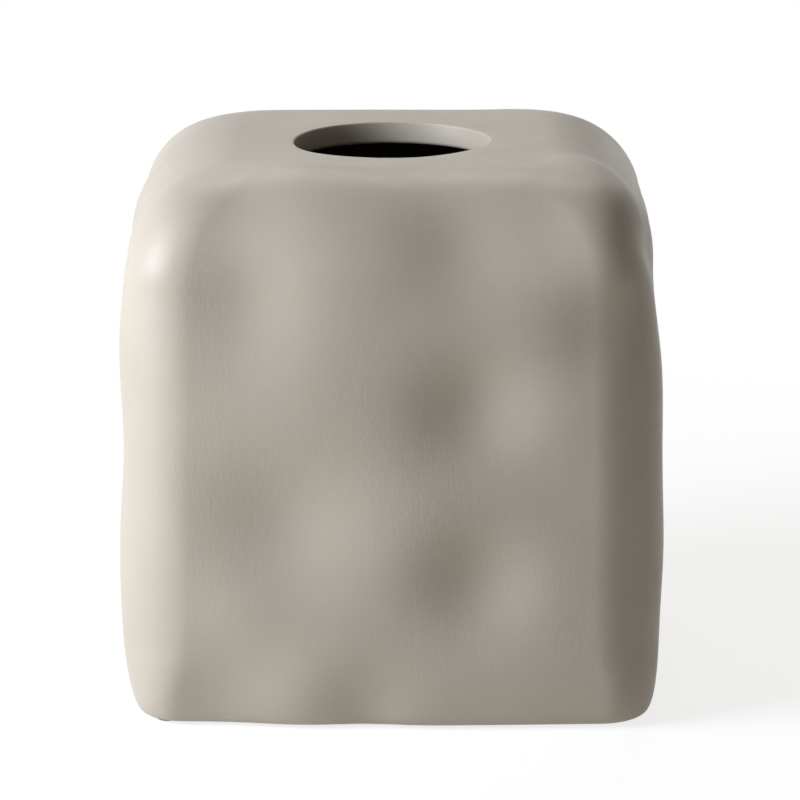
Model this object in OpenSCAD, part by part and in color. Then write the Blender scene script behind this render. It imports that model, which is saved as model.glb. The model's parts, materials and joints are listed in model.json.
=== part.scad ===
// Square tissue box cover: one cast shell with hand-pressed hollows in its
// skin, a round mouth in the top and an open underside, on four small pads.
// Lengths are in millimetres. +Z is up, +Y goes from the front to the back,
// and the origin is the middle of the footprint, on the surface under the pads.

/* [Body] */
// Width and depth across the walls at the base, before they swell
body_w = 144; // [138:1:160]
// Height of the shell, from its base ring to its top face
body_h = 145; // [138:1:170]
// How far each wall leans in between the base and the top
wall_lean = 1.4; // [0:0.2:4]
// How far the middle of each wall swells outward at the base
wall_bow = 2.4; // [0:0.2:4]
// Radius of the four upright corners
corner_r = 18; // [17:1:26]
// Thickness of the four walls
wall_t = 6.5; // [5:0.5:8]
// Thickness of the top
top_t = 6.2; // [5:0.2:8]

/* [Shoulder] */
// How far the round shoulder reaches in over the top
shoulder_in = 28; // [22:1:32]
// How far the round shoulder reaches down the walls
shoulder_drop = 26; // [22:1:34]
// Corner radius of the outline where the shoulder meets the flat of the top
top_corner_r = 15; // [8:1:16]

/* [Base] */
// How far the base edge rounds in under the walls
base_in = 5; // [2:0.5:6]
// How far the base edge rounds up the walls
base_up = 20; // [16:1:26]
// Corner radius of the outline that the cover stands on
base_corner_r = 11.5; // [9:0.5:18]
// Width of the flat ring that the cover stands on
base_ring_w = 8.5; // [8:0.5:12]
// Height of the turned-in ring inside the base
base_ring_h = 6; // [4:0.5:9]
// Corner radius of the open underside
opening_corner_r = 7; // [4:0.5:9]

/* [Mouth] */
// Diameter of the round mouth that the tissues come through
mouth_d = 53.5; // [44:0.5:66]
// How far the mouth's round outline carries out into the top
mouth_land = 1.5; // [1:0.5:4]

/* [Hollows] */
// Depth of the deepest hollow pressed into a wall
hollow_depth = 3.6; // [0:0.1:4]
// Reach of a typical hollow from its middle to the slope around it
hollow_reach = 11; // [9:0.5:14]
// Height of the slight waves in the top
top_wave = 0.7; // [0:0.1:1]

/* [Foot pads] */
// Diameter of each stick-on pad
pad_d = 6; // [4:0.5:7]
// Height of each pad
pad_h = 1; // [0.5:0.1:2]

/* [Hidden] */

// Glaze and pad colours, as in the photograph
greige = [0.72, 0.69, 0.64];
pad_grey = [0.55, 0.54, 0.52];

// Overrun of a cut past the face that it leaves
cut_over = 1;
$fn = 96;

// How finely the skin is divided: steps along half a side and round a corner,
// and rings over each stretch of it from the mouth round to the inside
side_steps = 9;
corner_steps = 6;
top_steps = 4;
shoulder_steps = 9;
wall_steps = 16;
base_steps = 4;
inner_wall_steps = 3;
inner_shoulder_steps = 5;

// Reaches from its middle at which a hollow has run out
fade_reaches = 4;

// Heights of the main levels
base_z = pad_h;
top_z = base_z + body_h;
under_top_z = top_z - top_t;

// The mouth, the land's outer edge, and the skin's edge before the mouth is cut
mouth_r = mouth_d / 2;
land_r = mouth_r + mouth_land;
core_r = mouth_r - cut_over;

// Half the width of the open underside, and of the ring's outer edge
ring_half = body_w / 2 - base_in;
opening_half = ring_half - base_ring_w;

// The inner skin keeps the wall's thickness from the outer one
inner_corner_r = max(corner_r - wall_t, opening_corner_r);
inner_shoulder_in = shoulder_in - top_t;
inner_shoulder_drop = shoulder_drop - top_t;

// Pads sit on the corners of the base ring, midway over its width
ring_diagonal = corner_reach(ring_half, base_corner_r);
opening_diagonal = corner_reach(opening_half, opening_corner_r);
pad_at = (ring_diagonal + opening_diagonal) / 2 / sqrt(2);

// Hollows on each wall, seen from outside it, as shares chosen by eye:
// across (-1 left edge, 1 right edge), height, reach and depth.
// A negative depth share is a swelling.
front_shares = [
    [-0.52, 0.82, 0.95, 0.60],
    [-0.51, 0.72, 0.90, 0.20],
    [0.27, 0.90, 1.00, 0.75],
    [0.31, 0.60, 0.95, 1.15],
    [-0.37, 0.39, 1.25, 1.05],
    [0.32, 0.28, 0.90, 1.10],
    [-0.61, 0.06, 0.95, 0.50],
    [-0.10, 0.02, 0.70, 0.65],
    [-0.28, 0.12, 0.90, -0.20],
    [0.55, 0.44, 1.20, 0.25],
    [0.80, 0.75, 0.85, 0.75],
    [0.88, 0.58, 1.25, 0.46],
    [0.88, 0.30, 1.35, 0.58],
    [-0.30, 0.68, 2.40, -0.55],
    [-0.22, 0.33, 2.40, -0.55],
    [-0.22, 0.98, 2.00, -0.36],
    [-0.88, 0.98, 0.95, -0.30],
    [0.56, 0.92, 0.85, 0.38],
    [0.86, -0.02, 0.90, -0.15],
    [-0.53, 0.20, 0.80, -0.25],
    [-0.62, 0.30, 1.00, -0.10],
    [-0.75, 0.00, 1.80, 0.38]
];
right_shares = [
    [-0.76, 0.885, 0.80, 1.10],
    [-0.78, 0.98, 0.80, -0.60],
    [-0.60, 0.78, 0.95, 0.28],
    [-0.55, 0.985, 0.95, -0.80],
    [0.30, 0.84, 1.20, 0.25],
    [-0.15, 0.56, 1.25, 0.70],
    [0.55, 0.48, 1.10, 0.70],
    [-0.35, 0.28, 1.15, 0.50],
    [0.30, 0.15, 1.00, 0.60],
    [-0.62, 0.60, 1.00, -0.14],
    [-0.66, 0.30, 1.00, -0.26],
    [-0.80, 0.74, 0.75, 0.14],
    [-0.70, 0.07, 1.30, 0.38],
    [0.15, 0.36, 2.20, -0.40],
    [-0.30, 0.84, 1.40, 0.45],
    [0.68, 0.91, 1.10, 0.25]
];
back_shares = [
    [-0.42, 0.80, 1.15, 0.70],
    [0.40, 0.72, 1.30, 0.90],
    [-0.48, 0.47, 1.10, 0.80],
    [0.22, 0.38, 1.15, 0.70],
    [-0.20, 0.14, 1.05, 0.65],
    [0.58, 0.18, 0.95, 0.60],
    [0.05, 0.60, 2.20, -0.50],
    [-0.30, 0.30, 1.90, -0.40],
    [0.76, 0.50, 0.85, -0.25]
];
left_shares = [
    [-0.40, 0.76, 1.20, 0.80],
    [0.20, 0.84, 1.00, 0.55],
    [0.10, 0.56, 1.20, 0.80],
    [-0.50, 0.36, 1.15, 0.75],
    [0.22, 0.24, 1.10, 0.65],
    [-0.15, 0.07, 0.85, 0.50],
    [0.64, 0.50, 1.10, 0.40],
    [0.64, 0.69, 1.00, -0.10],
    [0.66, 0.86, 0.90, 0.40],
    [-0.15, 0.64, 2.10, -0.40],
    [-0.05, 0.28, 2.00, -0.35],
    [-0.68, 0.91, 1.10, 0.28],
    [0.76, 0.03, 1.20, 0.30]
];
wall_shares = [front_shares, right_shares, back_shares, left_shares];

// Waves in the top: across, from front to back, reach and depth. A negative
// depth share raises the top or its round corner.
top_shares = [
    [-0.62, 0.45, 1.05, 0.30],
    [0.62, 0.52, 1.00, -1.00],
    [-0.36, -0.66, 0.90, -0.90],
    [0.38, -0.28, 1.20, -0.90],
    [-0.30, -0.78, 1.30, -1.20],
    [0.42, -0.76, 1.20, -1.60],
    [0.80, -0.80, 0.80, -3.20],
    [-0.80, -0.80, 0.80, -3.60],
    [0.76, -0.44, 0.75, -2.40],
    [-0.36, -0.10, 1.20, 0.60]
];

// Distance from the middle to the corner of a rounded square, h its half
// width and r its corner radius
function corner_reach(h, r) = (h - r) * sqrt(2) + r;

// Distance from the middle to a rounded square's outline, towards angle a
function outline_dist(a, h, r) =
    let (c = abs(cos(a)), s = abs(sin(a)), k = h - r)
    h * min(c, s) / max(c, s) <= k
        ? h / max(c, s)
        : let (q = k * (c + s)) q + sqrt(max(q * q - 2 * k * k + r * r, 0));

// The outline's outward direction there
function outline_normal(p, h, r) =
    let (k = h - r,
        x = max(abs(p.x) - k, 0) * sign(p.x),
        y = max(abs(p.y) - k, 0) * sign(p.y))
    [x, y] / norm([x, y]);

// Angles at which every outline is cut: evenly along a side of the widest
// outline, then evenly round its corner, four times
side_half = body_w / 2 - corner_r;
quarter_angles = concat(
    [for (i = [0 : 2 * side_steps - 1])
        atan2(side_half * (i / side_steps - 1), body_w / 2)],
    [for (i = [0 : corner_steps - 1])
        let (t = 90 * i / corner_steps)
        atan2(side_half + corner_r * sin(t), side_half + corner_r * cos(t))]
);
angles = [for (turn = [0 : 3], a = quarter_angles) a + 90 * turn];

// Half width across the walls at height z, before they swell
function half_at(z) = body_w / 2 - wall_lean * (z - base_z) / body_h;

// How far the skin swells out at a place with outward direction n: most in the
// middle of a wall and at the base, not at all at its corners and its top
function swell_at(p, n) =
    let (up = (p.z - base_z) / body_h, wide = half_at(p.z),
        across = (n.y * p.x / wide) ^ 2 + (n.x * p.y / wide) ^ 2)
    wall_bow * (1 - up * up) * (1 - across);

// Middles of all hollows and waves: place, reach and depth
hollows = concat(
    [for (side = [0 : 3], share = wall_shares[side])
        let (a = 90 * side, z = base_z + share[1] * body_h,
            across = share[0] * body_w / 2, out = half_at(z))
        [across * cos(a) + out * sin(a), across * sin(a) - out * cos(a), z,
            share[2] * hollow_reach, share[3] * hollow_depth]],
    [for (share = top_shares)
        [share[0] * body_w / 2, share[1] * body_w / 2, top_z,
            share[2] * hollow_reach, share[3] * top_wave]]
);

// Depth of the skin at a place on the plain body, added up over the hollows
function depth_at(p, i = 0, sum = 0) =
    i == len(hollows) ? sum
    : let (w = hollows[i], d = norm(p - [w[0], w[1], w[2]]) / w[3])
    depth_at(p, i + 1, sum + (d < fade_reaches ? w[4] * exp(-d * d / 2) : 0));

// One ring of the outer skin: its half width, corner radius and height, and
// the slope of its outward direction
function outer_ring(h, r, z, slope) =
    [for (a = angles)
        let (d = outline_dist(a, h, r), p = [d * cos(a), d * sin(a), z],
            n = outline_normal(p, h, r),
            deep = depth_at(p) - swell_at(p, n),
            side = deep * cos(slope), drop = z > edge_z ? deep * sin(slope) : 0)
        [p.x - side * n.x, p.y - side * n.y, z - drop]];

// One plain ring of the inside, with no hollows
function plain_ring(h, r, z) =
    [for (a = angles) let (d = outline_dist(a, h, r)) [d * cos(a), d * sin(a), z]];

// Height at which the wall hands over to the shoulder, and to the base edge
shoulder_z = top_z - shoulder_drop;
edge_z = base_z + base_up;
flat_half = half_at(top_z) - shoulder_in;

// The outside, from the mouth over the shoulder and down to the base ring
top_rings = concat(
    [outer_ring(core_r, core_r, top_z, 90)],
    [for (i = [0 : top_steps - 1])
        let (t = i / top_steps)
        outer_ring(land_r + (flat_half - land_r) * t,
            land_r + (top_corner_r - land_r) * t, top_z, 90)]
);
shoulder_rings = [for (i = [0 : shoulder_steps])
    let (a = 90 - 90 * i / shoulder_steps,
        inset = shoulder_in * (1 - cos(a)), z = shoulder_z + shoulder_drop * sin(a))
    outer_ring(half_at(z) - inset,
        corner_r + (top_corner_r - corner_r) * inset / shoulder_in, z,
        atan2(sin(a) / shoulder_drop, cos(a) / shoulder_in))];
wall_rings = [for (i = [1 : wall_steps])
    let (z = shoulder_z + (edge_z - shoulder_z) * i / wall_steps)
    outer_ring(half_at(z), corner_r, z, 0)];
base_rings = [for (i = [1 : base_steps])
    let (a = 90 * i / base_steps, inset = base_in * (1 - cos(a)),
        z = edge_z - base_up * sin(a))
    outer_ring(half_at(z) - inset, corner_r + (base_corner_r - corner_r) * sin(a), z, 0)];
outer_rings = concat(top_rings, shoulder_rings, wall_rings, base_rings);

// The inside, from the open underside up to the underside of the top
inner_shoulder_z = under_top_z - inner_shoulder_drop;
ring_top_z = base_z + base_ring_h;
inner_flat_half = half_at(under_top_z) - wall_t - inner_shoulder_in;
inner_rings = concat(
    [plain_ring(opening_half, opening_corner_r, base_z),
        plain_ring(opening_half, opening_corner_r, ring_top_z)],
    [for (i = [0 : inner_wall_steps - 1])
        let (z = edge_z + (inner_shoulder_z - edge_z) * i / inner_wall_steps)
        plain_ring(half_at(z) - wall_t, inner_corner_r, z)],
    [for (i = [0 : inner_shoulder_steps])
        let (a = 90 * i / inner_shoulder_steps,
            inset = inner_shoulder_in * (1 - cos(a)),
            z = inner_shoulder_z + inner_shoulder_drop * sin(a))
        plain_ring(half_at(z) - wall_t - inset,
            inner_corner_r + (top_corner_r - inner_corner_r) * inset / inner_shoulder_in,
            z)],
    [plain_ring(core_r, core_r, under_top_z)]
);

// The closed skin: each ring joined to the next, and the last to the first
// round the inside of the mouth
module skin(rings) {
    n = len(rings[0]);
    count = len(rings);
    points = [for (ring = rings, p = ring) p];
    polyhedron(points, [for (i = [0 : count - 1], j = [0 : n - 1])
        let (a = i * n, b = (i + 1) % count * n, next = (j + 1) % n)
        each [[a + j, a + next, b + j], [a + next, b + next, b + j]]]);
}

module cover_shell() {
    color(greige)
        difference() {
            skin(concat(outer_rings, inner_rings));
            translate([0, 0, under_top_z - cut_over])
                cylinder(h = top_t + 2 * cut_over, r = mouth_r);
        }
}

// One pad under the corner of the base ring that x and y point to
module foot_pad(x, y) {
    color(pad_grey)
        translate([x * pad_at, y * pad_at, 0])
            cylinder(h = pad_h, d = pad_d);
}

module foot_pad_front_left() { foot_pad(-1, -1); }
module foot_pad_front_right() { foot_pad(1, -1); }
module foot_pad_rear_left() { foot_pad(-1, 1); }
module foot_pad_rear_right() { foot_pad(1, 1); }

cover_shell();
foot_pad_front_left();
foot_pad_front_right();
foot_pad_rear_left();
foot_pad_rear_right();
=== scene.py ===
import json
import math

import bpy
import numpy as np
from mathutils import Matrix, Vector


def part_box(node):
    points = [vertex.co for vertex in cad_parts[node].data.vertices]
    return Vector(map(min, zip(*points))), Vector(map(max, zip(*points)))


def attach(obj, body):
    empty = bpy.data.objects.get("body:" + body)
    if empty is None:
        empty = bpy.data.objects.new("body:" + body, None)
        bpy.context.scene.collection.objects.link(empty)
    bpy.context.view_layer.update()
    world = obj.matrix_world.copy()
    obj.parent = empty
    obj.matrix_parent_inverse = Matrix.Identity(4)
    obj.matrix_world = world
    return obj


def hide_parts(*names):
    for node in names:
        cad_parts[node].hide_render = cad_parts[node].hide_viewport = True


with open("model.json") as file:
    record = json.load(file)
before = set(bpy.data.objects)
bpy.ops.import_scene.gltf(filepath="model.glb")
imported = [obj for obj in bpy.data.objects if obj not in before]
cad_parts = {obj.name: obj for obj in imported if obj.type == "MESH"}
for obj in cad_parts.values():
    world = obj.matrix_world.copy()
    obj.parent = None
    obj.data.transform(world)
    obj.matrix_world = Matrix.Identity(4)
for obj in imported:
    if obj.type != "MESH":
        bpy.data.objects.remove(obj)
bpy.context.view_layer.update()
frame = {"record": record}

# Viewpoint: a long lens straight in front of the cover and a little above it,
# so that the walls show almost upright and the mouth as a narrow ellipse.
MM = 0.001
VIEW_DISTANCE = 1300 * MM
VIEW_ELEVATION = math.radians(13.9)
VIEW_TARGET = Vector((0, 0, 74.5 * MM))
IMAGE_SIDE = 800
BODY_CENTRE_PX = (392.0, 394.3)
FOCAL_PX = 4700
SENSOR_WIDTH = 36
NEAREST_SEEN = 10 * MM
FURTHEST_SEEN = 50000 * MM


def placed(name, data):
    """A new object in the scene, made of the given mesh, lamp or lens."""
    thing = bpy.data.objects.new(name, data)
    bpy.context.scene.collection.objects.link(thing)
    return thing


view_camera = placed("view_camera", bpy.data.cameras.new("view_camera"))
view_camera.location = VIEW_TARGET + VIEW_DISTANCE * Vector(
    (0, -math.cos(VIEW_ELEVATION), math.sin(VIEW_ELEVATION))
)
view_camera.rotation_euler = (math.pi / 2 - VIEW_ELEVATION, 0, 0)
view_camera.data.sensor_width = SENSOR_WIDTH
view_camera.data.lens = FOCAL_PX * SENSOR_WIDTH / IMAGE_SIDE
view_camera.data.shift_x = (IMAGE_SIDE / 2 - BODY_CENTRE_PX[0]) / IMAGE_SIDE
view_camera.data.shift_y = (BODY_CENTRE_PX[1] - IMAGE_SIDE / 2) / IMAGE_SIDE
view_camera.data.clip_start = NEAREST_SEEN
view_camera.data.clip_end = FURTHEST_SEEN
bpy.context.scene.camera = view_camera

# The shell: one hollow casting with leaning walls, a round shoulder and a round
# mouth. Thumb-sized hollows are pressed into its walls before it is fired, and a
# matte greige glaze covers it, except inside above the base ring, where clay shows,
# coloured very dark: partly the clay's own tone and partly painted shade.

# Sizes are in millimetres. IN is how far a rounded edge draws in, DROP and UP how high it is.
mouth = next(m for m in frame["record"]["mounts"] if m["name"] == "dispensing_mouth")
MOUTH_R = mouth["dims"]["r_mm"]
TOP_T = mouth["dims"]["length_mm"]
BODY_W = 144
BODY_H = 145
WALL_LEAN = 1.4
WALL_BOW = 2.4
CORNER_R = 18
WALL_T = 6.5
SHOULDER_IN = 28
SHOULDER_DROP = 26
TOP_CORNER_R = 15
BASE_IN = 5
BASE_UP = 20
BASE_RING_W = 8.5
BASE_RING_H = 6
OPENING_CORNER_R = 7
BASE_CORNER_R = 11.5
MOUTH_LAND = 1.5
RIM_R = 0.5
LOWER_RIM_R = 1.1
HOLLOW_DEPTH = 3.6
HOLLOW_REACH = 11
TOP_WAVE = 0.7
PAD_H = 1

# How many points lie along a side and round a corner, and how many rings in each stretch
SIDE_POINTS = 88
CORNER_POINTS = 26
RIM_RINGS = 7
TOP_RINGS = 14
SHOULDER_RINGS = 36
WALL_RINGS = 76
BASE_RINGS = 24
INNER_WALL_RINGS = 8
INNER_SHOULDER_RINGS = 12

# Each hollow's place across its wall, seen from outside, and up it, as shares of half the
# width and of the height, then its reach and depth. One with a depth below zero swells out.
FRONT_SHARES = [
    (-0.52, 0.82, 0.95, 0.60),
    (-0.51, 0.72, 0.90, 0.20),
    (0.27, 0.90, 1.00, 0.75),
    (0.31, 0.60, 0.95, 1.15),
    (-0.37, 0.39, 1.25, 1.05),
    (0.32, 0.28, 0.90, 1.10),
    (-0.61, 0.06, 0.95, 0.50),
    (-0.10, 0.02, 0.70, 0.65),
    (-0.28, 0.12, 0.90, -0.20),
    (0.55, 0.44, 1.20, 0.25),
    (0.80, 0.75, 0.85, 0.75),
    (0.88, 0.58, 1.25, 0.46),
    (0.88, 0.30, 1.35, 0.58),
    (-0.30, 0.68, 2.40, -0.55),
    (-0.22, 0.33, 2.40, -0.55),
    (-0.22, 0.98, 2.00, -0.36),
    (-0.88, 0.98, 0.95, -0.30),
    (0.56, 0.92, 0.85, 0.38),
    (0.86, -0.02, 0.90, -0.15),
    (-0.53, 0.20, 0.80, -0.25),
    (-0.62, 0.30, 1.00, -0.10),
    (-0.75, 0.00, 1.80, 0.38),
]
RIGHT_SHARES = [
    (-0.76, 0.885, 0.80, 1.10),
    (-0.78, 0.98, 0.80, -0.60),
    (-0.60, 0.78, 0.95, 0.28),
    (-0.55, 0.985, 0.95, -0.80),
    (0.30, 0.84, 1.20, 0.25),
    (-0.15, 0.56, 1.25, 0.70),
    (0.55, 0.48, 1.10, 0.70),
    (-0.35, 0.28, 1.15, 0.50),
    (0.30, 0.15, 1.00, 0.60),
    (-0.62, 0.60, 1.00, -0.14),
    (-0.66, 0.30, 1.00, -0.26),
    (-0.80, 0.74, 0.75, 0.14),
    (-0.70, 0.07, 1.30, 0.38),
    (0.15, 0.36, 2.20, -0.40),
    (-0.30, 0.84, 1.40, 0.45),
    (0.68, 0.91, 1.10, 0.25),
]
BACK_SHARES = [
    (-0.42, 0.80, 1.15, 0.70),
    (0.40, 0.72, 1.30, 0.90),
    (-0.48, 0.47, 1.10, 0.80),
    (0.22, 0.38, 1.15, 0.70),
    (-0.20, 0.14, 1.05, 0.65),
    (0.58, 0.18, 0.95, 0.60),
    (0.05, 0.60, 2.20, -0.50),
    (-0.30, 0.30, 1.90, -0.40),
    (0.76, 0.50, 0.85, -0.25),
]
LEFT_SHARES = [
    (-0.40, 0.76, 1.20, 0.80),
    (0.20, 0.84, 1.00, 0.55),
    (0.10, 0.56, 1.20, 0.80),
    (-0.50, 0.36, 1.15, 0.75),
    (0.22, 0.24, 1.10, 0.65),
    (-0.15, 0.07, 0.85, 0.50),
    (0.64, 0.50, 1.10, 0.40),
    (0.64, 0.69, 1.00, -0.10),
    (0.66, 0.86, 0.90, 0.40),
    (-0.15, 0.64, 2.10, -0.40),
    (-0.05, 0.28, 2.00, -0.35),
    (-0.68, 0.91, 1.10, 0.28),
    (0.76, 0.03, 1.20, 0.30),
]

# Across, back, reach and depth of each wave in the top. One with a depth below zero stands up.
TOP_SHARES = [
    (-0.62, 0.45, 1.05, 0.30),
    (0.62, 0.52, 1.00, -1.00),
    (-0.36, -0.66, 0.90, -0.90),
    (0.38, -0.28, 1.20, -0.90),
    (-0.30, -0.78, 1.30, -1.20),
    (0.42, -0.76, 1.20, -1.60),
    (0.80, -0.80, 0.80, -3.20),
    (-0.80, -0.80, 0.80, -3.60),
    (0.76, -0.44, 0.75, -2.40),
    (-0.36, -0.10, 1.20, 0.60),
]

base_z = PAD_H
top_z = base_z + BODY_H
under_top_z = top_z - TOP_T
shoulder_z = top_z - SHOULDER_DROP
edge_z = base_z + BASE_UP
land_r = MOUTH_R + MOUTH_LAND
ring_half = BODY_W / 2 - BASE_IN
opening_half = ring_half - BASE_RING_W


def half_at(z):
    """Half the width of the outside of the walls at height z."""
    return BODY_W / 2 - WALL_LEAN * ((z - base_z) / BODY_H)


def point_directions():
    """The way from the middle to each point of a ring: evenly along a side, then round a corner."""
    straight = BODY_W / 2 - CORNER_R
    along = np.linspace(-straight, straight, SIDE_POINTS, endpoint=False)
    turn = np.linspace(0, math.pi / 2, CORNER_POINTS, endpoint=False)
    side = np.arctan2(along, BODY_W / 2)
    corner = np.arctan2(straight + CORNER_R * np.sin(turn), straight + CORNER_R * np.cos(turn))
    quarter = np.concatenate([side, corner])
    return np.concatenate([quarter + i * math.pi / 2 for i in range(4)])


def hollow_places():
    """Middle, reach and depth, in millimetres, of every hollow in the walls and wave in the top."""
    places = []
    walls = (FRONT_SHARES, RIGHT_SHARES, BACK_SHARES, LEFT_SHARES)
    for i, shares in enumerate(walls):
        cos_turn, sin_turn = math.cos(i * math.pi / 2), math.sin(i * math.pi / 2)
        for across, height, reach, depth in shares:
            z = base_z + height * BODY_H
            along, out = across * BODY_W / 2, half_at(z)
            places.append((along * cos_turn + out * sin_turn, along * sin_turn - out * cos_turn, z,
                           reach * HOLLOW_REACH, depth * HOLLOW_DEPTH))
    for across, back, reach, depth in TOP_SHARES:
        places.append((across * BODY_W / 2, back * BODY_W / 2, top_z,
                       reach * HOLLOW_REACH, depth * TOP_WAVE))
    return places


directions = point_directions()
hollows = hollow_places()


def rounded_square(half, corner):
    """Points round a square with round corners, and the way out of the skin at each of them."""
    cos_d, sin_d = np.cos(directions), np.sin(directions)
    most = np.maximum(abs(cos_d), abs(sin_d))
    least = np.minimum(abs(cos_d), abs(sin_d))
    straight = half - corner
    to_side = half / most
    to_centre = straight * (abs(cos_d) + abs(sin_d))
    to_corner = to_centre + np.sqrt(
        np.maximum(to_centre * to_centre - 2 * straight * straight + corner * corner, 0)
    )
    distance = np.where(half * least / most <= straight, to_side, to_corner)
    x, y = distance * cos_d, distance * sin_d
    out_x = np.maximum(abs(x) - straight, 0) * np.sign(x)
    out_y = np.maximum(abs(y) - straight, 0) * np.sign(y)
    length = np.hypot(out_x, out_y)
    return x, y, out_x / length, out_y / length


def inner_ring(half, corner, z):
    """One level cut through the inside, which is plain."""
    x, y = rounded_square(half, corner)[:2]
    return np.column_stack([x, y, np.full_like(x, z)])


def outer_ring(half, corner, z, upward=0.0):
    """One cut through the outside, where the skin bows out, is pressed in and faces up by that angle."""
    x, y, out_x, out_y = rounded_square(half, corner)
    up = (z - base_z) / BODY_H
    from_middle = (out_y * x / half_at(z)) ** 2 + (out_x * y / half_at(z)) ** 2
    deep = -(WALL_BOW * (1 - up * up) * (1 - from_middle))
    for hollow_x, hollow_y, hollow_z, reach, depth in hollows:
        apart = ((x - hollow_x) ** 2 + (y - hollow_y) ** 2 + (z - hollow_z) ** 2) / reach**2
        deep += depth * np.exp(-apart / 2)
    inward = deep * math.cos(upward)
    downward = deep * math.sin(upward)
    return np.column_stack([x - inward * out_x, y - inward * out_y, z - downward])


def outside_rings():
    """The rings from the mouth's rim over the top, the shoulder and the walls to the base edge."""
    rings = []
    for a in np.linspace(0, math.pi / 2, RIM_RINGS):
        r = MOUTH_R + RIM_R * (1 - math.cos(a))
        rings.append(outer_ring(r, r, top_z - RIM_R * (1 - math.sin(a)), math.pi / 2))
    flat_half = half_at(top_z) - SHOULDER_IN
    for t in np.linspace(0, 1, TOP_RINGS, endpoint=False):
        half = land_r + (flat_half - land_r) * t
        corner = land_r + (TOP_CORNER_R - land_r) * t
        rings.append(outer_ring(half, corner, top_z, math.pi / 2))
    for a in np.linspace(math.pi / 2, 0, SHOULDER_RINGS, endpoint=False):
        inset = SHOULDER_IN * (1 - math.cos(a))
        z = shoulder_z + SHOULDER_DROP * math.sin(a)
        corner = CORNER_R + (TOP_CORNER_R - CORNER_R) * inset / SHOULDER_IN
        upward = math.atan2(math.sin(a) / SHOULDER_DROP, math.cos(a) / SHOULDER_IN)
        rings.append(outer_ring(half_at(z) - inset, corner, z, upward))
    for z in np.linspace(shoulder_z, edge_z, WALL_RINGS, endpoint=False):
        rings.append(outer_ring(half_at(z), CORNER_R, z))
    for a in np.linspace(0, math.pi / 2, BASE_RINGS):
        inset = BASE_IN * (1 - math.cos(a))
        z = edge_z - BASE_UP * math.sin(a)
        corner = CORNER_R + (BASE_CORNER_R - CORNER_R) * math.sin(a)
        rings.append(outer_ring(half_at(z) - inset, corner, z))
    return rings


def opening_rings():
    """The rings at the lower and upper edge of the opening in the base."""
    return [inner_ring(opening_half, OPENING_CORNER_R, z) for z in (base_z, base_z + BASE_RING_H)]


def inside_rings():
    """The rings up the inside of the walls and in under the shoulder."""
    rings = []
    wall_corner = max(CORNER_R - WALL_T, OPENING_CORNER_R)
    inner_in = SHOULDER_IN - TOP_T
    inner_drop = SHOULDER_DROP - TOP_T
    inner_z = under_top_z - inner_drop
    for z in np.linspace(edge_z, inner_z, INNER_WALL_RINGS, endpoint=False):
        rings.append(inner_ring(half_at(z) - WALL_T, wall_corner, z))
    for a in np.linspace(0, math.pi / 2, INNER_SHOULDER_RINGS):
        inset = inner_in * (1 - math.cos(a))
        z = inner_z + inner_drop * math.sin(a)
        corner = wall_corner + (TOP_CORNER_R - wall_corner) * inset / inner_in
        rings.append(inner_ring(half_at(z) - WALL_T - inset, corner, z))
    return rings


def lower_rim_rings():
    """The rings round the lower rim of the mouth, up to its bore."""
    rings = []
    for a in np.linspace(0, math.pi / 2, RIM_RINGS):
        r = MOUTH_R + LOWER_RIM_R * (1 - math.sin(a))
        rings.append(inner_ring(r, r, under_top_z + LOWER_RIM_R * (1 - math.cos(a))))
    return rings


def skin(name, rings, capped=False):
    """A closed mesh over rings of points, with flat caps or with its last ring joined to its first."""
    sides, count = len(rings[0]), len(rings)
    faces = []
    for i in range(count - 1 if capped else count):
        a, b = i * sides, (i + 1) % count * sides
        for j in range(sides):
            nxt = (j + 1) % sides
            faces.append((a + j, b + j, b + nxt, a + nxt))
    smooth = [True] * len(faces)
    if capped:
        last = (count - 1) * sides
        faces.append(tuple(range(sides)))
        faces.append(tuple(last + sides - 1 - j for j in range(sides)))
        smooth += [False, False]
    mesh = bpy.data.meshes.new(name)
    mesh.from_pydata((np.concatenate(rings) * MM).tolist(), [], faces)
    mesh.validate()
    mesh.update()
    mesh.polygons.foreach_set("use_smooth", smooth)
    return mesh


def wired(tree, node, sockets):
    """Sets each socket of a node to a value, or wires it to the output of another node."""
    for name, value in sockets.items():
        if isinstance(value, bpy.types.NodeSocket):
            tree.links.new(value, node.inputs[name])
        else:
            node.inputs[name].default_value = value
    return node


def new_node(tree, kind, sockets, **choices):
    """A new shader node of that kind, with its choices made and its sockets wired."""
    node = tree.nodes.new("ShaderNode" + kind)
    for name, choice in choices.items():
        setattr(node, name, choice)
    return wired(tree, node, sockets)


def cloud(tree, per_metre, detail, rough=0.5, squeeze=(1, 1, 1)):
    """Soft noise that is fixed to the piece, about so many blobs to the metre."""
    place = new_node(tree, "TexCoord", {})
    squeezed = new_node(tree, "Mapping", {"Vector": place.outputs["Object"], "Scale": squeeze})
    noise = new_node(tree, "TexNoise", {
        "Vector": squeezed.outputs["Vector"],
        "Scale": per_metre,
        "Detail": detail,
        "Roughness": rough,
    })
    return noise.outputs["Fac"]


def blended(tree, value, low, high):
    """A colour that turns from the one at low to the one at high as the value rises."""
    node = new_node(tree, "ValToRGB", {"Fac": value})
    for stop, (position, colour) in zip(node.color_ramp.elements, (low, high)):
        stop.position = position
        stop.color = colour
    return node.outputs["Color"]


def grey(level):
    """A grey of that level, for a colour or for a blend that sets a number."""
    return (level, level, level, 1)


def maths(tree, operation, first, second):
    """The outcome of one step of arithmetic on two values."""
    return new_node(tree, "Math", {0: first, 1: second}, operation=operation).outputs["Value"]


def roughened(tree, height, strength, depth):
    """The way a surface faces once a noise of that depth is pressed into it."""
    bump = new_node(tree, "Bump", {"Height": height, "Strength": strength, "Distance": depth})
    return bump.outputs["Normal"]


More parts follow.
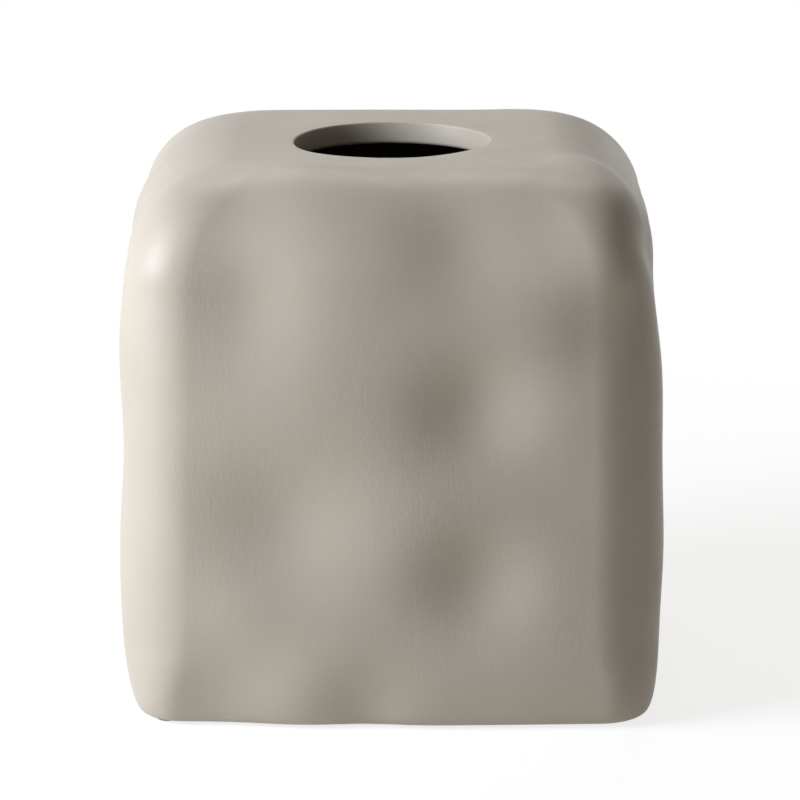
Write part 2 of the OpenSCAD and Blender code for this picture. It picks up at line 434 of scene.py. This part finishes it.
def new_finish(name):
    """A new material, its nodes, and the shader that it starts with."""
    material = bpy.data.materials.new(name)
    material.use_nodes = True
    tree = material.node_tree
    return material, tree, tree.nodes["Principled BSDF"]


GLAZE_DARKER = (0.450, 0.405, 0.335, 1)
GLAZE_LIGHTER = (0.480, 0.434, 0.362, 1)
GLAZE_SHINIER = 0.43
GLAZE_DULLER = 0.50
GLAZE_IOR = 1.47
FINE_PATCH_SHARE = 0.6
GRAIN_DEPTH = 0.12 * MM
# The inside's clay colours are partly the clay's own tone and partly painted shade for the unlit inside.
CLAY_AND_SHADE_DARKER = (0.085, 0.070, 0.052, 1)
CLAY_AND_SHADE_LIGHTER = (0.125, 0.105, 0.080, 1)
CLAY_ROUGHNESS = 0.9
SAND_DEPTH = 0.2 * MM


def glaze_material():
    """Matte greige glaze with soft mottling and a fine leathery grain, coarser in patches."""
    material, tree, shader = new_finish("matte_greige_glaze")
    mottle = cloud(tree, per_metre=38, detail=4, squeeze=(1, 1, 0.7))
    sheen = cloud(tree, per_metre=140, detail=3)
    grain = cloud(tree, per_metre=1300, detail=2, rough=0.6, squeeze=(1, 1, 0.33))
    wrinkle = cloud(tree, per_metre=320, detail=3, rough=0.55, squeeze=(1, 1, 0.55))
    patch = cloud(tree, per_metre=22, detail=1)
    relief = blended(tree, patch, low=(0.45, grey(FINE_PATCH_SHARE)), high=(0.60, grey(1)))
    leather = maths(tree, "MULTIPLY", maths(tree, "ADD", grain, wrinkle), relief)
    wired(tree, shader, {
        "Base Color": blended(tree, mottle, low=(0.3, GLAZE_DARKER), high=(0.7, GLAZE_LIGHTER)),
        "Roughness": blended(tree, sheen, low=(0.3, grey(GLAZE_SHINIER)), high=(0.7, grey(GLAZE_DULLER))),
        "IOR": GLAZE_IOR,
        "Normal": roughened(tree, leather, strength=0.42, depth=GRAIN_DEPTH),
    })
    return material


def clay_and_shade_material():
    """The unglazed inside: rough fired clay with a sandy tooth, very dark, partly its own colour and
    partly painted shade for the unlit inside.
    """
    material, tree, shader = new_finish("bare_clay_and_painted_shade")
    sand = cloud(tree, per_metre=700, detail=3)
    wired(tree, shader, {
        "Base Color": blended(tree, sand, low=(0.3, CLAY_AND_SHADE_DARKER), high=(0.7, CLAY_AND_SHADE_LIGHTER)),
        "Roughness": CLAY_ROUGHNESS,
        "Normal": roughened(tree, sand, strength=0.5, depth=SAND_DEPTH),
    })
    return material


glazed_rings = outside_rings() + opening_rings()
bare_rings = inside_rings()
bare_strips = range(len(glazed_rings) - 1, len(glazed_rings) + len(bare_rings))
shell_mesh = skin("glazed_shell", glazed_rings + bare_rings + lower_rim_rings())
shell_mesh.materials.append(glaze_material())
shell_mesh.materials.append(clay_and_shade_material())
for face in shell_mesh.polygons:
    face.material_index = 1 if face.index // len(directions) in bare_strips else 0
glazed_shell = placed("glazed_shell", shell_mesh)
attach(glazed_shell, "root")
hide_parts("cover_shell")

# Foot pads: four small stick-on rubber bumpers under the corners of the base
# ring, rounded at the edge, which keep the hard ring off the counter.
PAD_R = 3
PAD_EDGE_R = 0.45
PAD_SIDES = 40
PAD_EDGE_RINGS = 6
RUBBER_DARKER = (0.22, 0.21, 0.20, 1)
RUBBER_LIGHTER = (0.32, 0.31, 0.29, 1)
RUBBER_ROUGHNESS = 0.75
DUST_DEPTH = 0.05 * MM


def pad_material():
    """Grey rubber with a dusty, slightly uneven surface."""
    material, tree, shader = new_finish("pad_grey_rubber")
    dust = cloud(tree, per_metre=1800, detail=3)
    wired(tree, shader, {
        "Base Color": blended(tree, dust, low=(0, RUBBER_DARKER), high=(1, RUBBER_LIGHTER)),
        "Roughness": RUBBER_ROUGHNESS,
        "Normal": roughened(tree, dust, strength=0.3, depth=DUST_DEPTH),
    })
    return material


def pad_mesh(name, centre_x, centre_y):
    """A short round pad with a rounded lower edge, flat where it sticks and stands."""
    profile = [(PAD_R, PAD_H)]
    for a in np.linspace(0, math.pi / 2, PAD_EDGE_RINGS):
        profile.append((PAD_R - PAD_EDGE_R * (1 - math.cos(a)), PAD_EDGE_R * (1 - math.sin(a))))
    turns = [2 * math.pi * j / PAD_SIDES for j in range(PAD_SIDES)]
    rings = [np.array([(centre_x + r * math.cos(a), centre_y + r * math.sin(a), z) for a in turns])
             for r, z in profile]
    return skin(name, rings, capped=True)


pad_rubber = pad_material()
for where in ("front_left", "front_right", "rear_left", "rear_right"):
    node = "foot_pad_" + where
    low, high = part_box(node)
    middle = [(low[i] + high[i]) / 2 / MM for i in range(2)]
    bumper = placed("bumper_" + where, pad_mesh("bumper_" + where, *middle))
    bumper.data.materials.append(pad_rubber)
    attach(bumper, "root")
    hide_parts(node)

# Floor: a plain sweep of matte paper. Near the cover it keeps the soft shadow,
# and further out it passes into the white of the surround.
FLOOR_HALF = 6000 * MM
FADE_FROM = 160 * MM
FADE_TO = 380 * MM
COVERED_TO = (ring_half - 1) * MM
COVERED_EDGE = 4 * MM
WHITE = (1, 1, 1, 1)
PAPER = (0.92, 0.87, 0.79, 1)
PAPER_SHADE = 0.30
PAPER_GLOW = 0.80
PAPER_TOOTH_DEPTH = 0.1 * MM


def backdrop_seen(tree):
    """1 for the rays that look at the backdrop, straight or in a gloss or glass, and 0 for others."""
    ray = new_node(tree, "LightPath", {}).outputs
    seen = maths(tree, "MAXIMUM", ray["Is Camera Ray"], ray["Is Glossy Ray"])
    return maths(tree, "MAXIMUM", seen, ray["Is Transmission Ray"])


def mixed(tree, share, first, second):
    """A shader that passes from the first to the second as the share goes from 0 to 1."""
    return new_node(tree, "MixShader", {"Fac": share, 1: first, 2: second}).outputs["Shader"]


def paper_material():
    """Pale matte paper with a faint tooth, seen with a soft shadow that fades to plain white."""
    material, tree, glossy = new_finish("pale_paper")
    tree.nodes.remove(glossy)
    tooth = roughened(tree, cloud(tree, per_metre=400, detail=2), strength=0.1, depth=PAPER_TOOTH_DEPTH)
    paper = new_node(tree, "BsdfDiffuse", {"Color": PAPER, "Normal": tooth})
    shaded = new_node(tree, "BsdfDiffuse", {"Color": grey(PAPER_SHADE), "Normal": tooth})

    # The fourth root of x^4 + y^4 is a distance that follows the cover's squarish footprint
    place = new_node(tree, "TexCoord", {}).outputs["Object"]
    squared = new_node(tree, "VectorMath", {0: place, 1: place}, operation="MULTIPLY")
    fourth_power = new_node(tree, "VectorMath", {0: squared.outputs["Vector"]}, operation="LENGTH")
    squarish = new_node(tree, "Math", {0: fourth_power.outputs["Value"]}, operation="SQRT")
    uncovered = new_node(tree, "MapRange", {
        "Value": squarish.outputs["Value"],
        "From Min": COVERED_TO - COVERED_EDGE,
        "From Max": COVERED_TO,
        "To Max": PAPER_GLOW,
    })
    glow = new_node(tree, "Emission", {"Color": WHITE, "Strength": uncovered.outputs["Result"]})
    lit = new_node(tree, "AddShader", {0: shaded.outputs["BSDF"], 1: glow.outputs["Emission"]})

    away = new_node(tree, "VectorMath", {0: place}, operation="LENGTH")
    fade = new_node(tree, "MapRange", {
        "Value": away.outputs["Value"],
        "From Min": FADE_FROM,
        "From Max": FADE_TO,
    }, interpolation_type="SMOOTHSTEP")
    white = new_node(tree, "Emission", {"Color": WHITE, "Strength": 1.0})
    seen = mixed(tree, fade.outputs["Result"], lit.outputs["Shader"], white.outputs["Emission"])
    surface = mixed(tree, backdrop_seen(tree), paper.outputs["BSDF"], seen)
    wired(tree, tree.nodes["Material Output"], {"Surface": surface})
    return material


floor_corners = [(x * FLOOR_HALF, y * FLOOR_HALF, 0) for x, y in ((-1, -1), (1, -1), (1, 1), (-1, 1))]
floor_mesh = bpy.data.meshes.new("floor")
floor_mesh.from_pydata(floor_corners, [], [(0, 1, 2, 3)])
floor_mesh.materials.append(paper_material())
floor = placed("floor", floor_mesh)

# Light: one large soft lamp high on the left and a little in front, a warm lamp
# above and behind that lights the top, a low even surround, and a weak strip
# behind on the right that draws the edge there.
SURROUND_TINT = (1.0, 0.93, 0.82, 1)
SURROUND = 0.098


def soft_lamp(name, place, aim, size, power, tint=(1, 1, 1)):
    """A rectangular soft lamp at place, turned towards aim, in metres and watts."""
    light = bpy.data.lights.new(name, "AREA")
    light.shape = "RECTANGLE"
    light.size, light.size_y = size
    light.energy = power
    light.color = tint
    lamp = placed(name, light)
    lamp.location = place
    lamp.rotation_euler = (Vector(aim) - Vector(place)).to_track_quat("-Z", "Y").to_euler()


def studio_world():
    """A low warm light from all sides, which is seen as plain white."""
    world = bpy.data.worlds.new("studio")
    world.use_nodes = True
    tree = world.node_tree
    warm = wired(tree, tree.nodes["Background"], {"Color": SURROUND_TINT, "Strength": SURROUND})
    white = new_node(tree, "Background", {"Color": WHITE, "Strength": 1.0})
    surface = mixed(tree, backdrop_seen(tree), warm.outputs["Background"], white.outputs["Background"])
    wired(tree, tree.nodes["World Output"], {"Surface": surface})
    return world


soft_lamp("left_lamp", place=(-0.78, -0.33, 0.42), aim=(0, 0, 0.09), size=(0.48, 0.50),
          power=10.95, tint=(0.95, 1, 1.10))
soft_lamp("overhead", place=(0.0, 0.70, 0.93), aim=(0, 0, 0.11), size=(0.5, 0.5),
          power=2.0, tint=(1.08, 1, 0.88))
soft_lamp("rear_strip", place=(0.40, 0.90, 0.20), aim=(0.05, 0, 0.09), size=(0.15, 0.8), power=0.3)
bpy.context.scene.world = studio_world()
bpy.context.scene.view_settings.view_transform = "Standard"
